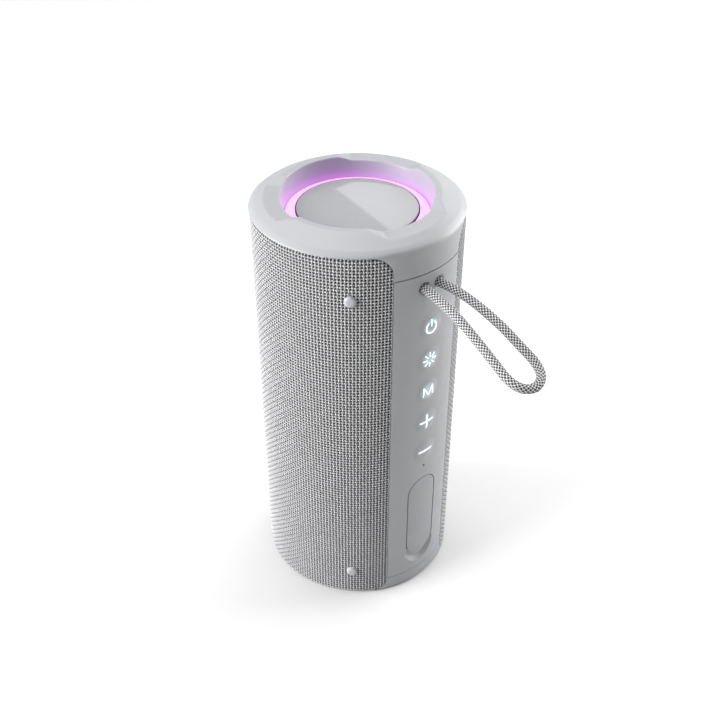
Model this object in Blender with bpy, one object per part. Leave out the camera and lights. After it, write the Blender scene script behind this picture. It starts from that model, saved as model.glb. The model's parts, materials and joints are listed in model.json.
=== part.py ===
"""Portable cylindrical speaker with a lit end, a key strip, a port flap and a wrist loop.

The body stands on the XY plane with its axis on +Z, and the key strip faces -Y.
Lengths are in millimetres and are turned into metres as each mesh is made. Pieces that
follow the wall are drawn flat, with x as arc length, -y as radius and z as height, and are
then bent round the axis.
"""

import math

import bmesh
import bpy
from mathutils import Matrix, Vector

MM = 0.001

# Driving dimensions, in millimetres and degrees
BODY_R = 42.0
HEIGHT = 181.0
GAP = 0.3
STRIP_HALF_DEG = 23.0
GRILLE_TOP = 175.4
GRILLE_BOTTOM = 1.4
TOP_CORNER_R = 9.0
BOTTOM_CORNER_R = 6.0
TOP_SEAM = 164.5
BOTTOM_SEAM = 7.0
EDGE_R = 3.0
STRIP_INNER_R = 39.6
FABRIC_R = (41.5, 42.0)
FRAME_R = (40.2, 41.2)

# Top rim: a cone that rises to three flat lobes, with three flat shelves cut into it
RIM_FOOT = (39.6, 177.4)
RIM_RIDGE_R = 32.2
SHELF_Z = 179.0
SHELF_EDGE_R = 36.3
SHELF_HALF_DEG = (24.0, 34.0)
SHELF_STEP_DEG = 3.0
FUNNEL_R = (29.6, 28.5)
FUNNEL_LOW = 172.6

KEY_Z = {
    "button_power": 139.8,
    "button_light": 124.2,
    "button_mode": 108.5,
    "button_volume_up": 92.8,
    "button_volume_down": 77.0,
}
KEY_R = 5.0
KEY_PROUD = 0.5
KEY_HOLE_R = KEY_R + GAP
MIC_Z = 68.3

FLAP_HALF = 7.6
FLAP_Z = (17.0, 61.3)
FLAP_HOLE_GAP = 0.4
FLAP_HINGE = (0.0, -41.8, 60.7)
TETHER_LOW = (-3.0, -39.5, 58.5)
TETHER_HIGH = (3.0, -33.0, 59.5)
SCOOP_Z = 18.9
SCOOP_FLOOR = (40.4, 7.4)
SCOOP_MOUTH = (42.6, 9.2)

# Each socket: half width, heights, and the half width and heights of its mouth
SOCKETS = {
    "charge_socket": (4.5, (23.0, 26.3), 3.9, (23.7, 25.6)),
    "aux_socket": (3.2, (33.0, 39.4), 1.8, (34.4, 38.0)),
    "card_socket": (6.2, (46.5, 48.9), 5.6, (47.1, 48.2)),
}
BAY_LOW = (-10.2, -38.0, 13.2)
BAY_HIGH = (10.2, -30.2, 63.2)
BAY_WALL = 1.2

SIDE_FOOT_DEG = (135, 225)
SIDE_FOOT_Z = (15.1, 158.6)
SIDE_FOOT_R = 2.4
SIDE_FOOT_PROUD = 0.9
BASE_FOOT_R = (31.0, 37.0)
BASE_FOOT_HEIGHT = 0.6
BASE_FOOT_HALF_DEG = 35.0
UNDERSIDE_Z = 0.9

CORD_D = 3.7
CORD_HOLE_R = 2.3
CORD_HOLE_X = 3.8
CORD_Z = 158.0
CORD_STEP = 4.5
CORD_ROUTE = (
    (-3.8, -37.5, 158.0),
    (-3.8, -43.0, 157.9),
    (-4.5, -50.0, 157.3),
    (-5.2, -60.0, 155.1),
    (-6.2, -70.5, 151.4),
    (-7.1, -80.5, 147.3),
    (-7.5, -87.5, 144.3),
    (-5.4, -92.4, 142.2),
    (-0.3, -94.4, 141.3),
    (4.8, -92.4, 142.3),
    (6.9, -87.5, 144.5),
    (6.6, -80.5, 147.9),
    (6.1, -71.0, 152.2),
    (5.3, -60.0, 155.8),
    (4.5, -50.0, 157.7),
    (3.8, -43.0, 157.9),
    (3.8, -37.5, 158.0),
)

RING_R = (24.2, 28.1)
RING_Z = (174.1, 172.8)
RING_BACK = 170.5
COVER_R = 23.8
TOP_COVER_Z = (171.0, 174.0)
BOTTOM_COVER_Z = (6.0, 3.2)
END_WALL = (19.9, 160.1)
CASE_R = 38.4
CASE_WALL = 2.0
CASE_FRONT = -27.3
CASE_BACK = 26.0
CASE_SPLIT_GAP = 0.15
DRIVER_Z = {"upper": 118.0, "lower": 62.0}
DRIVER_MOUTH_R = 21.0
END_MOUTH_R = 26.0
CELL_R = 9.2
CELL_Z = (58.0, 123.0)
CELL_XY = ((-10.2, -13.6), (10.2, -13.6))
SCREW_XY = ((32.2, 11.7), (-32.2, 11.7), (-32.2, -11.7))
SCREW_HOLE_R = 1.3

ROUND = 60
MEDIUM = 32
SMALL = 16
COLUMN = math.radians(6.0) * BODY_R

COLOURS = {
    "shell_plastic": ((0.56, 0.565, 0.58, 1.0), 0.45, 0.0),
    "key_plastic": ((0.57, 0.575, 0.59, 1.0), 0.40, 0.0),
    "grille_cloth": ((0.42, 0.42, 0.44, 1.0), 0.85, 0.0),
    "dark_plastic": ((0.06, 0.06, 0.065, 1.0), 0.50, 0.0),
    "inner_plastic": ((0.12, 0.12, 0.13, 1.0), 0.55, 0.0),
    "light_guide": ((0.95, 0.80, 0.97, 1.0), 0.30, 0.0),
    "cover_satin": ((0.50, 0.505, 0.52, 1.0), 0.30, 0.1),
    "flap_rubber": ((0.53, 0.535, 0.55, 1.0), 0.55, 0.0),
    "foot_rubber": ((0.62, 0.62, 0.64, 1.0), 0.60, 0.0),
    "black_rubber": ((0.03, 0.03, 0.03, 1.0), 0.70, 0.0),
    "cord_braid": ((0.38, 0.38, 0.39, 1.0), 0.90, 0.0),
    "steel": ((0.62, 0.62, 0.63, 1.0), 0.30, 1.0),
    "magnet_steel": ((0.30, 0.30, 0.31, 1.0), 0.40, 1.0),
    "cone_paper": ((0.10, 0.10, 0.11, 1.0), 0.80, 0.0),
    "circuit_board": ((0.03, 0.16, 0.09, 1.0), 0.45, 0.0),
    "cell_wrap": ((0.10, 0.30, 0.55, 1.0), 0.35, 0.0),
}


def clear_scene():
    for obj in list(bpy.data.objects):
        bpy.data.objects.remove(obj, do_unlink=True)


def make_materials():
    made = {}
    for name, (colour, roughness, metallic) in COLOURS.items():
        material = bpy.data.materials.new(name)
        material.use_nodes = True
        shader = material.node_tree.nodes["Principled BSDF"]
        shader.inputs["Base Color"].default_value = colour
        shader.inputs["Roughness"].default_value = roughness
        shader.inputs["Metallic"].default_value = metallic
        material.diffuse_color = colour
        made[name] = material
    return made


# ---------------------------------------------------------------- building blocks


def add_object(name, bm, material):
    """Link the mesh, in millimetres, as one object in metres with one material."""
    bmesh.ops.recalc_face_normals(bm, faces=bm.faces[:])
    bm.transform(Matrix.Scale(MM, 4))
    mesh = bpy.data.meshes.new(name)
    bm.to_mesh(mesh)
    bm.free()
    mesh.materials.append(MATERIALS[material])
    mesh.shade_smooth()
    mesh.set_sharp_from_angle(angle=math.radians(35))
    obj = bpy.data.objects.new(name, mesh)
    bpy.context.scene.collection.objects.link(obj)
    return obj


def boolean(target, tool, operation="DIFFERENCE"):
    """Apply one exact Boolean to the target and remove the tool."""
    modifier = target.modifiers.new("Cut", "BOOLEAN")
    modifier.operation = operation
    modifier.object = tool
    modifier.solver = "EXACT"
    graph = bpy.context.evaluated_depsgraph_get()
    result = bpy.data.meshes.new_from_object(target.evaluated_get(graph))
    target.modifiers.clear()
    material = target.data.materials[0]
    old = target.data
    target.data = result
    bpy.data.meshes.remove(old)
    result.name = target.name
    result.materials.clear()
    result.materials.append(material)
    bpy.data.objects.remove(tool, do_unlink=True)


def ring(name, loop_at, material, angles):
    """A closed body round the Z axis, from the closed (r, z) loop that loop_at gives at each angle."""
    bm = bmesh.new()
    columns = []
    for angle in angles:
        c, s = math.cos(angle), math.sin(angle)
        columns.append([bm.verts.new((r * c, r * s, z)) for r, z in loop_at(angle)])
    for here, there in zip(columns, columns[1:] + columns[:1]):
        for i in range(len(here)):
            j = (i + 1) % len(here)
            bm.faces.new((here[i], there[i], there[j], here[j]))
    return add_object(name, bm, material)


def even_angles(count):
    return [2 * math.pi * i / count for i in range(count)]


def turned_ring(name, loop, material, count=MEDIUM):
    return ring(name, lambda angle: loop, material, even_angles(count))


def turned_solid(name, profile, material, count=MEDIUM):
    """A solid of revolution round Z; the (r, z) profile starts and ends on the axis."""
    bm = bmesh.new()
    first = bm.verts.new((0.0, 0.0, profile[0][1]))
    last = bm.verts.new((0.0, 0.0, profile[-1][1]))
    columns = []
    for angle in even_angles(count):
        c, s = math.cos(angle), math.sin(angle)
        columns.append([bm.verts.new((r * c, r * s, z)) for r, z in profile[1:-1]])
    for here, there in zip(columns, columns[1:] + columns[:1]):
        bm.faces.new((first, here[0], there[0]))
        bm.faces.new((last, there[-1], here[-1]))
        for i in range(len(here) - 1):
            bm.faces.new((here[i], there[i], there[i + 1], here[i + 1]))
    return add_object(name, bm, material)


def block(name, low, high, material):
    """A box between two corners."""
    bm = bmesh.new()
    bmesh.ops.create_cube(bm, size=1.0)
    size = Vector(high) - Vector(low)
    centre = (Vector(high) + Vector(low)) / 2
    bmesh.ops.transform(bm, matrix=Matrix.Diagonal(size).to_4x4(), verts=bm.verts)
    bmesh.ops.translate(bm, vec=centre, verts=bm.verts)
    return add_object(name, bm, material)


def rod(name, start, end, radius, material, count=SMALL, end_radius=None):
    """A round bar, or a cone where end_radius differs, between two points."""
    start, end = Vector(start), Vector(end)
    bm = bmesh.new()
    bmesh.ops.create_cone(
        bm,
        cap_ends=True,
        segments=count,
        radius1=radius,
        radius2=radius if end_radius is None else end_radius,
        depth=(end - start).length,
    )
    turn = Vector((0, 0, 1)).rotation_difference(end - start).to_matrix().to_4x4()
    bm.transform(Matrix.Translation((start + end) / 2) @ turn)
    return add_object(name, bm, material)


def plate(name, outline, inner_r, outer_r, material):
    """A flat plate in front of the body, from an (x, z) outline and two radii."""
    bm = bmesh.new()
    face = bm.faces.new([bm.verts.new((x, -inner_r, z)) for x, z in outline])
    grown = bmesh.ops.extrude_face_region(bm, geom=[face])
    moved = [v for v in grown["geom"] if isinstance(v, bmesh.types.BMVert)]
    bmesh.ops.translate(bm, vec=(0, inner_r - outer_r, 0), verts=moved)
    return add_object(name, bm, material)


def arc(cx, cz, radius, start_deg, end_deg, steps):
    points = []
    for i in range(steps + 1):
        angle = math.radians(start_deg + (end_deg - start_deg) * i / steps)
        points.append((cx + radius * math.cos(angle), cz + radius * math.sin(angle)))
    return points


def stadium(half, low, high, steps=8):
    """An upright slot with round ends."""
    return arc(0, low + half, half, 180, 360, steps) + arc(0, high - half, half, 0, 180, steps)


def tuck(z):
    """How far the wall draws in where it rounds under at the bottom."""
    if z >= EDGE_R:
        return 0.0
    return EDGE_R - math.sqrt(EDGE_R**2 - (EDGE_R - max(z, 0.0)) ** 2)


def wrap(obj, levels=()):
    """Bend a flat piece round the axis, after slicing it into narrow columns."""
    bm = bmesh.new()
    bm.from_mesh(obj.data)
    bm.transform(Matrix.Scale(1 / MM, 4))
    xs = [v.co.x for v in bm.verts]
    first, last = math.ceil(min(xs) / COLUMN), math.floor(max(xs) / COLUMN)
    cuts = [((i * COLUMN, 0, 0), (1, 0, 0)) for i in range(first, last + 1)]
    cuts += [((0, 0, z), (0, 0, 1)) for z in levels]
    for place, normal in cuts:
        everything = bm.verts[:] + bm.edges[:] + bm.faces[:]
        bmesh.ops.bisect_plane(bm, geom=everything, dist=1e-4, plane_co=place, plane_no=normal)
    bmesh.ops.triangulate(bm, faces=bm.faces[:])
    for v in bm.verts:
        angle = v.co.x / BODY_R
        radius = -v.co.y - tuck(v.co.z)
        v.co = (radius * math.sin(angle), -radius * math.cos(angle), v.co.z)
    bm.transform(Matrix.Scale(MM, 4))
    bm.to_mesh(obj.data)
    bm.free()
    obj.data.shade_smooth()
    obj.data.set_sharp_from_angle(angle=math.radians(35))


def set_origin(obj, point):
    """Move the object's origin, in millimetres, and leave its shape where it is."""
    offset = Vector(point) * MM
    obj.data.transform(Matrix.Translation(-offset))
    obj.location = obj.location + offset


def strip_arc():
    """Arc length from the middle of the key strip to its edge."""
    return math.radians(STRIP_HALF_DEG) * BODY_R


# ---------------------------------------------------------------- end caps


def cap_angles():
    """Even columns round the cap, and closer ones beside the strip and at the ends of the shelves."""
    edge = math.radians(STRIP_HALF_DEG)
    steps = [edge - 0.004, edge]
    steps += [edge + s / BODY_R for s in (0.5, 1.3, 2.6, 4.2, BOTTOM_CORNER_R, 7.4, TOP_CORNER_R)]
    near = [sign * a for a in steps for sign in (-1, 1)]
    far = [a if a <= math.pi else a - 2 * math.pi for a in even_angles(ROUND)]
    far = [a for a in far if not edge - 0.05 < abs(a) < steps[-1] + 0.03]
    shelves = [math.radians(middle + off) for middle in (-120, 120) for off in (-33, -27, 27, 33)]
    return [a - math.pi / 2 for a in sorted(near + far + shelves)]


def from_strip_edge(angle):
    """Arc length past the strip's edge; negative inside the strip."""
    turn = (angle + math.pi / 2 + math.pi) % (2 * math.pi) - math.pi
    return abs(turn) * BODY_R - strip_arc()


def corner_rise(s, radius):
    """Height of a round corner above its lowest line, s past its vertical edge."""
    s = min(max(s, 0.0), radius)
    return radius - math.sqrt(radius**2 - (radius - s) ** 2)


def smooth_step(t):
    t = min(max(t, 0.0), 1.0)
    return t * t * (3 - 2 * t)


def lobe_share(r, angle):
    """1 on the three lobes and 0 on the three shelves, one of which is over the strip."""
    off = abs((math.degrees(angle) + 90 + 60) % 120 - 60)
    inward = (SHELF_EDGE_R - r) / (SHELF_EDGE_R - FUNNEL_R[0])
    half = SHELF_HALF_DEG[0] + (SHELF_HALF_DEG[1] - SHELF_HALF_DEG[0]) * inward
    return smooth_step((off - half) / SHELF_STEP_DEG)


def rim_z(r, angle):
    """Height of the top rim at radius r."""
    slope = (HEIGHT - RIM_FOOT[1]) / (RIM_FOOT[0] - RIM_RIDGE_R)
    lobe = min(HEIGHT, RIM_FOOT[1] + (RIM_FOOT[0] - r) * slope)
    shelf = min(lobe, SHELF_Z)
    return shelf + (lobe - shelf) * lobe_share(r, angle)


def top_cap_loop(angle):
    s = from_strip_edge(angle)
    lip = TOP_SEAM if s < 0 else GRILLE_TOP - corner_rise(s, TOP_CORNER_R)
    rim = [SHELF_EDGE_R, (SHELF_EDGE_R + RIM_RIDGE_R) / 2, RIM_RIDGE_R, FUNNEL_R[0]]
    return [
        (BODY_R, lip),
        (41.8, 176.0),
        RIM_FOOT,
        *[(r, rim_z(r, angle)) for r in rim],
        (FUNNEL_R[1], FUNNEL_LOW),
        (FUNNEL_R[1], 170.2),
        (32.6, 170.2),
        (32.6, END_WALL[1] + GAP),
        (38.9, END_WALL[1] + GAP),
        (39.4, lip),
    ]


def make_top_cap():
    cap = ring("top_cap", top_cap_loop, "shell_plastic", cap_angles())
    for x, y in SCREW_XY:
        boolean(cap, rod("hole", (x, y, 159), (x, y, 168.6), SCREW_HOLE_R, "steel", 12))


def bottom_cap_loop(angle):
    s = from_strip_edge(angle)
    lip = GRILLE_BOTTOM - GAP
    under = UNDERSIDE_Z
    if s < 0:
        lip = BOTTOM_SEAM
    elif s <= BOTTOM_CORNER_R:
        lip += corner_rise(s, BOTTOM_CORNER_R)
    reach = BODY_R if s <= BOTTOM_CORNER_R else 39.8
    middle = under + (lip - under) * 0.25
    skirt = FLAP_Z[0] - 4.4 if s < 0 else END_WALL[0] - GAP
    return [
        (reach - tuck(lip) * (reach > 40), lip),
        (reach - tuck(middle) * (reach > 40), middle),
        (reach - 1.2, under),
        (25.8, under),
        (24.8, 1.9),
        (24.8, 8.0),
        (32.6, 8.0),
        (32.6, skirt),
        (38.9, skirt),
        (39.3, lip),
    ]


def make_bottom_cap():
    cap = ring("bottom_cap", bottom_cap_loop, "shell_plastic", cap_angles())
    for x, y in SCREW_XY:
        boolean(cap, rod("hole", (x, y, 11.4), (x, y, 21), SCREW_HOLE_R, "steel", 12))


def make_cap_screws():
    for end, wall, way in (("top", END_WALL[1], 1), ("bottom", END_WALL[0], -1)):
        for number, (x, y) in enumerate(SCREW_XY, 1):
            inside = wall - way * CASE_WALL
            head = rod(
                f"{end}_cap_screw_{number}",
                (x, y, inside - way * 1.7),
                (x, y, inside - way * GAP),
                1.9,
                "steel",
                12,
            )
            shank = rod("shank", (x, y, inside - way * 0.8), (x, y, wall + way * 7.8), 1.0, "steel", 10)
            boolean(head, shank, "UNION")


# ---------------------------------------------------------------- grille


def grille_outline(margin, top, bottom):
    """Outline of the wall outside the strip, laid flat, with round corners beside the strip."""
    left = strip_arc() + margin
    right = 2 * math.pi * BODY_R - left
    upper, lower = TOP_CORNER_R, BOTTOM_CORNER_R
    outline = arc(left + lower, bottom + lower, lower, 180, 270, 5)
    outline += arc(right - lower, bottom + lower, lower, 270, 360, 5)
    outline += arc(right - upper, top - upper, upper, 0, 90, 6)
    outline += arc(left + upper, top - upper, upper, 90, 180, 6)
    return outline


def make_grille():
    cloth = plate(
        "grille_fabric",
        grille_outline(0.15, GRILLE_TOP - GAP, GRILLE_BOTTOM),
        *FABRIC_R,
        "grille_cloth",
    )
    for angle_deg in SIDE_FOOT_DEG:
        for z in SIDE_FOOT_Z:
            x = foot_arc(angle_deg)
            boolean(cloth, rod("hole", (x, -45, z), (x, -38, z), SIDE_FOOT_R - 0.2, "steel", 12))
    wrap(cloth, levels=(EDGE_R,))
    frame = plate("grille_frame", grille_outline(0.6, GRILLE_TOP - 0.8, EDGE_R), *FRAME_R, "dark_plastic")
    half_turn = math.pi * BODY_R
    for column in range(-2, 3):
        for z in (53, 71, 109, 127):
            x = half_turn + column * 9.0
            boolean(frame, block("window", (x - 3.2, -45, z - 7), (x + 3.2, -38, z + 7), "steel"))
    wrap(frame)


# ---------------------------------------------------------------- side feet and base feet

def foot_arc(angle_deg):
    """Arc length on the flat layout of a foot at this azimuth, measured from the strip's middle."""
    return math.radians((angle_deg + 90) % 360) * BODY_R


def make_side_feet():
    """Four round rubber studs through the cloth, for lying the body down."""
    profile = [
        (0.0, 41.4),
        (SIDE_FOOT_R - 0.5, 41.4),
        (SIDE_FOOT_R - 0.5, BODY_R + GAP),
        (SIDE_FOOT_R, BODY_R + GAP),
        (SIDE_FOOT_R * 0.82, BODY_R + 0.65),
        (SIDE_FOOT_R * 0.45, BODY_R + SIDE_FOOT_PROUD),
        (0.0, BODY_R + SIDE_FOOT_PROUD + 0.05),
    ]
    number = 0
    for angle_deg in SIDE_FOOT_DEG:
        for z in SIDE_FOOT_Z:
            number += 1
            foot = turned_solid(f"side_foot_{number}", profile, "foot_rubber", 16)
            out = Vector((math.cos(math.radians(angle_deg)), math.sin(math.radians(angle_deg)), 0))
            foot.rotation_euler = out.to_track_quat("Z", "Y").to_euler()
            foot.location = (0, 0, z * MM)


def make_base_feet():
    """Three curved rubber pads under the bottom cap; the body stands on them."""
    inner, outer = BASE_FOOT_R
    top, edge = BASE_FOOT_HEIGHT, BASE_FOOT_HEIGHT / 2
    loop = (
        (inner, edge),
        (inner + 0.6, 0.0),
        (outer - 0.6, 0.0),
        (outer, edge),
        (outer, top),
        (inner, top),
    )
    for number in range(3):
        middle, half = 90 + 120 * number, BASE_FOOT_HALF_DEG
        angles = [math.radians(middle - half + half * i / 6) for i in range(13)]
        bm = bmesh.new()
        columns = []
        for angle in angles:
            c, s = math.cos(angle), math.sin(angle)
            columns.append([bm.verts.new((r * c, r * s, z)) for r, z in loop])
        for here, there in zip(columns, columns[1:]):
            for i in range(len(here)):
                j = (i + 1) % len(here)
                bm.faces.new((here[i], there[i], there[j], here[j]))
        bm.faces.new(columns[0])
        bm.faces.new(columns[-1])
        add_object(f"base_foot_{number + 1}", bm, "black_rubber")


# ---------------------------------------------------------------- key strip


def make_control_panel():
    side = strip_arc() - 0.15
    low, high = BOTTOM_SEAM + GAP, TOP_SEAM - GAP
    outline = [(-side, low), (side, low), (side, high), (-side, high)]
    panel = plate("control_panel", outline, STRIP_INNER_R, BODY_R, "shell_plastic")
    for z in KEY_Z.values():
        boolean(panel, rod("hole", (0, -45, z), (0, -38, z), KEY_HOLE_R, "steel", 20))
    for x in (-CORD_HOLE_X, CORD_HOLE_X):
        boolean(panel, rod("hole", (x, -45, CORD_Z), (x, -38, CORD_Z), CORD_HOLE_R, "steel", 16))
    boolean(panel, rod("hole", (0, -45, MIC_Z), (0, -38, MIC_Z), 0.5, "steel", 8))
    slot = stadium(FLAP_HALF + FLAP_HOLE_GAP, FLAP_Z[0] - FLAP_HOLE_GAP, FLAP_Z[1] + FLAP_HOLE_GAP)
    boolean(panel, plate("slot", slot, 38, 45, "steel"))
    (floor_r, floor_size), (mouth_r, mouth_size) = SCOOP_FLOOR, SCOOP_MOUTH
    start, end = (0, -floor_r, SCOOP_Z), (0, -mouth_r, SCOOP_Z)
    boolean(panel, rod("scoop", start, end, floor_size, "steel", MEDIUM, end_radius=mouth_size))
    wrap(panel)


def make_buttons():
    """Five domed keys, each with a foot behind the strip that keeps it in."""
    for name, z in KEY_Z.items():
        profile = [
            (0.0, -(STRIP_INNER_R - 1.8)),
            (1.6, -(STRIP_INNER_R - 1.8)),
            (1.6, -(STRIP_INNER_R - 1.1)),
            (KEY_R, -(STRIP_INNER_R - 0.9)),
            (KEY_R, -(BODY_R - 0.05)),
            (KEY_R * 0.8, -(BODY_R + KEY_PROUD * 0.6)),
            (KEY_R * 0.45, -(BODY_R + KEY_PROUD * 0.92)),
            (0.0, -(BODY_R + KEY_PROUD)),
        ]
        key = turned_solid(name, profile, "key_plastic", 20)
        key.data.transform(Matrix.Rotation(math.radians(-90), 4, "X"))
        key.data.transform(Matrix.Translation((0, 0, z * MM)))
        wrap(key)
        set_origin(key, (0, -BODY_R, z))


def make_flap():
    flap = plate("port_flap", stadium(FLAP_HALF, *FLAP_Z), STRIP_INNER_R + 0.3, BODY_R, "flap_rubber")
    wrap(flap)
    set_origin(flap, FLAP_HINGE)
    block("flap_tether", TETHER_LOW, TETHER_HIGH, "flap_rubber")


# ---------------------------------------------------------------- ports and boards


def make_port_bay():
    """A tray behind the flap, open to the front, with a hole in its floor for each socket."""
    bay = block("port_bay", BAY_LOW, BAY_HIGH, "inner_plastic")
    (x0, y0, z0), (x1, y1, z1) = BAY_LOW, BAY_HIGH
    low = (x0 + BAY_WALL, y0 - 2, z0 + BAY_WALL)
    high = (x1 - BAY_WALL, y1 - BAY_WALL, z1 - BAY_WALL)
    boolean(bay, block("hollow", low, high, "steel"))
    for x, z, _, _ in SOCKETS.values():
        boolean(bay, block("hole", (-x - GAP, -33, z[0] - GAP), (x + GAP, -29, z[1] + GAP), "steel"))


def make_sockets():
    """Sockets on the main board that reach through the bay's floor, each with a mouth."""
    for name, (x, z, mouth_x, mouth_z) in SOCKETS.items():
        socket = block(name, (-x, -33.8, z[0]), (x, -29.9, z[1]), "steel")
        mouth = block("mouth", (-mouth_x, -35, mouth_z[0]), (mouth_x, -30.6, mouth_z[1]), "steel")
        boolean(socket, mouth)


def make_boards():
    block("main_board", (-14.0, -29.5, 20.5), (14.0, -27.9, 150.0), "circuit_board")
    board = block("button_board", (-5.0, -36.4, 65.0), (5.0, -35.2, 146.0), "circuit_board")
    for z in KEY_Z.values():
        switch = block("switch", (-2.2, -37.0, z - 2.2), (2.2, -36.0, z + 2.2), "steel")
        boolean(board, switch, "UNION")
    block("microphone", (-1.6, -38.6, MIC_Z - 1.6), (1.6, -36.7, MIC_Z + 1.6), "steel")


# ---------------------------------------------------------------- lanyard


def smooth_curve(points, per_span=24):
    """Points on a Catmull-Rom curve through the given ones."""
    ends = [2 * points[0] - points[1]] + points + [2 * points[-1] - points[-2]]
    curve = []
    for a, b, c, d in zip(ends, ends[1:], ends[2:], ends[3:]):
        for i in range(per_span):
            t = i / per_span
            curve.append(
                0.5
                * (2 * b + (c - a) * t + (2 * a - 5 * b + 4 * c - d) * t**2 + (3 * b - a - 3 * c + d) * t**3)
            )
    return curve + [points[-1]]


def evenly(points, step):
    """The same path with points about one step apart."""
    lengths = [0.0]
    for a, b in zip(points, points[1:]):
        lengths.append(lengths[-1] + (b - a).length)
    count = round(lengths[-1] / step)
    even, i = [], 0
    for k in range(count + 1):
        want = lengths[-1] * k / count
        while i < len(points) - 2 and lengths[i + 1] < want:
            i += 1
        share = (want - lengths[i]) / (lengths[i + 1] - lengths[i])
        even.append(points[i].lerp(points[i + 1], share))
    return even


def make_lanyard():
    path = evenly(smooth_curve([Vector(p) for p in CORD_ROUTE]), CORD_STEP)
    curve = bpy.data.curves.new("lanyard_cord", "CURVE")
    curve.dimensions = "3D"
    curve.bevel_depth = CORD_D / 2 * MM
    curve.bevel_resolution = 2
    curve.use_fill_caps = True
    spline = curve.splines.new("POLY")
    spline.points.add(len(path) - 1)
    for point, place in zip(spline.points, path):
        point.co = (*(place * MM), 1.0)
    curve.materials.append(MATERIALS["cord_braid"])
    obj = bpy.data.objects.new("lanyard_cord", curve)
    bpy.context.scene.collection.objects.link(obj)
    anchor = block("lanyard_anchor", (-8.0, -30.0, 151.5), (8.0, -27.6, 159.5), "inner_plastic")
    boolean(anchor, rod("post", (0, -29, 155.5), (0, -36.6, 155.5), 1.6, "steel", 12), "UNION")
    boolean(anchor, rod("head", (0, -36.2, 155.5), (0, -37.2, 155.5), 1.9, "steel", 12), "UNION")


# ---------------------------------------------------------------- light ring and passive radiators


def make_light_ring():
    (inner, outer), (high, low) = RING_R, RING_Z
    loop = [(inner, high), (outer, low), (outer, RING_BACK), (inner, RING_BACK)]
    turned_ring("light_ring", loop, "light_guide", ROUND)
    board = [(24.6, 168.4), (32.4, 168.4), (32.4, 169.8), (24.6, 169.8)]
    turned_ring("light_board", board, "circuit_board", MEDIUM)


def make_radiator(end, wall, way, cover_z):
    """A passive radiator outside an end wall; way is +1 at the top and -1 at the bottom."""

    def turn(points):
        return [(r, wall + way * h) for r, h in points]

    frame = [(27.0, GAP), (29.8, GAP), (29.8, 2.4), (27.0, 2.4)]
    if way > 0:
        frame[1:3] = [(32.3, GAP), (32.3, 7.6), (30.2, 7.6), (30.2, 2.4)]
    turned_ring(f"{end}_radiator_frame", turn(frame), "inner_plastic")
    turned_ring(
        f"{end}_radiator_surround",
        turn([(18.4, 0.9), (20.0, 0.9), (22.5, 3.9), (25.2, 0.9), (26.7, 0.9), (26.7, 1.9)]
             + [(25.6, 1.9), (22.5, 5.2), (19.6, 1.9), (18.4, 1.9)]),
        "black_rubber",
    )
    cover_back = way * (cover_z[0] - wall) - GAP
    turned_solid(
        f"{end}_radiator_plate",
        turn([(0, 0.6), (18.0, 0.6), (18.0, 2.2), (8.0, 2.4), (7.0, cover_back), (0, cover_back)]),
        "inner_plastic",
        32,
    )
    turned_solid(
        f"{end}_radiator_weight",
        turn([(0, -4.6), (12.0, -4.6), (12.5, -4.1), (12.5, 0.2), (0, 0.2)]),
        "steel",
        24,
    )
    back, front = cover_z
    turned_solid(
        f"{end}_radiator_cover",
        [(0, back), (COVER_R - 0.3, back), (COVER_R, back + way * 0.3), (COVER_R, front - way * 0.6)]
        + [(COVER_R - 0.5, front - way * 0.1), (0, front)],
        "cover_satin",
        ROUND if way > 0 else MEDIUM,
    )


# ---------------------------------------------------------------- inner case, drivers and battery


def case_outline(inset, front_half):
    """Half of the D-shaped case, cut at y = 0; (x, y) points in order."""
    radius = CASE_R - inset
    flat = -(CASE_FRONT + inset) if front_half else CASE_BACK - inset
    limit = math.degrees(math.asin(flat / radius))
    outline = arc(0, 0, radius, 0, limit, 5)
    outline += [(-x, y) for x, y in reversed(outline)]
    way = -1 if front_half else 1
    return [(x, way * y) for x, y in outline]


def case_prism(name, outline, low, high, material):
    bm = bmesh.new()
    face = bm.faces.new([bm.verts.new((x, y, low)) for x, y in outline])
    grown = bmesh.ops.extrude_face_region(bm, geom=[face])
    moved = [v for v in grown["geom"] if isinstance(v, bmesh.types.BMVert)]
    bmesh.ops.translate(bm, vec=(0, 0, high - low), verts=moved)
    return add_object(name, bm, material)


def make_case():
    """Two tubs that meet near y = 0 and hold the drivers, the radiators and the battery."""
    low, high = END_WALL
    for name, front in (("case_front", True), ("case_back", False)):
        way = -1 if front else 1
        tub = case_prism(name, case_outline(0, front), low, high, "inner_plastic")
        core = case_prism("core", case_outline(CASE_WALL, front), low + CASE_WALL, high - CASE_WALL, "steel")
        boolean(tub, core)
        slab = block("slab", (-50, -way * 5, low - 5), (50, way * CASE_SPLIT_GAP, high + 5), "steel")
        boolean(tub, slab)
        for z in (low, high):
            boolean(tub, rod("mouth", (0, 0, z - 4), (0, 0, z + 4), END_MOUTH_R, "steel", MEDIUM))
            for x, y in SCREW_XY:
                if y * way > 0:
                    boolean(tub, rod("hole", (x, y, z - 4), (x, y, z + 4), SCREW_HOLE_R, "steel", 12))
        if not front:
            for z in DRIVER_Z.values():
                boolean(tub, rod("mouth", (0, 20, z), (0, 30, z), DRIVER_MOUTH_R, "steel", MEDIUM))


def face_back(obj, z):
    """Turn a piece made round +Z so that it looks along +Y, at this height."""
    obj.data.transform(Matrix.Rotation(math.radians(-90), 4, "X"))
    obj.location.z = z * MM


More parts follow.
